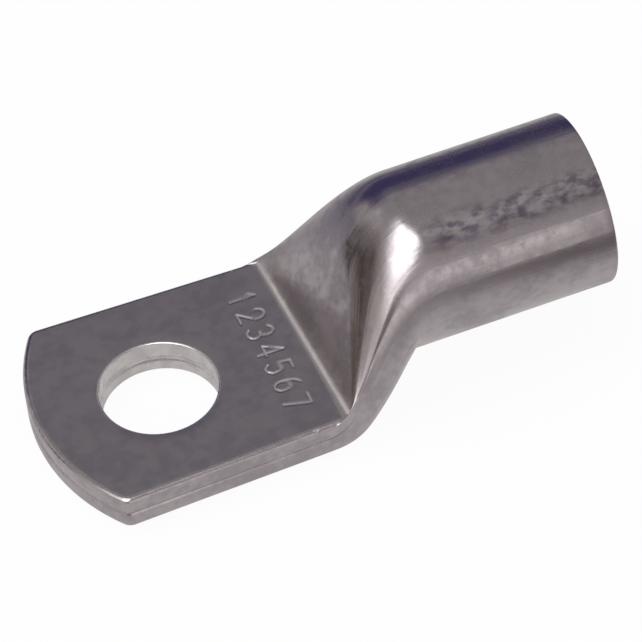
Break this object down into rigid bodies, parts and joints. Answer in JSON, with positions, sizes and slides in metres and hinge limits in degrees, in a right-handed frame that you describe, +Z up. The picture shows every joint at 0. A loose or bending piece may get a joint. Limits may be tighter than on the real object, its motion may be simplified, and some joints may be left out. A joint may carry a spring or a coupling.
{
  "type": "tube cable lug",
  "caption": "Crimp lug pressed from tinned copper tube: a round barrel takes a stranded conductor, and a stepped neck flattens into a palm with a stud hole.",
  "frame": {"origin": "centre of the stud hole on the underside of the palm", "axes": "+X along the lug to the mouth of the barrel, +Z up out of the palm's top face"},
  "size_m": [0.0414, 0.0179, 0.0138],
  "materials": {
    "tinned_copper": "satin electro-tinned copper with die marks"
  },
  "bodies": {
    "root": {"cable_lug": "tinned_copper"}
  },
  "joints": []
}
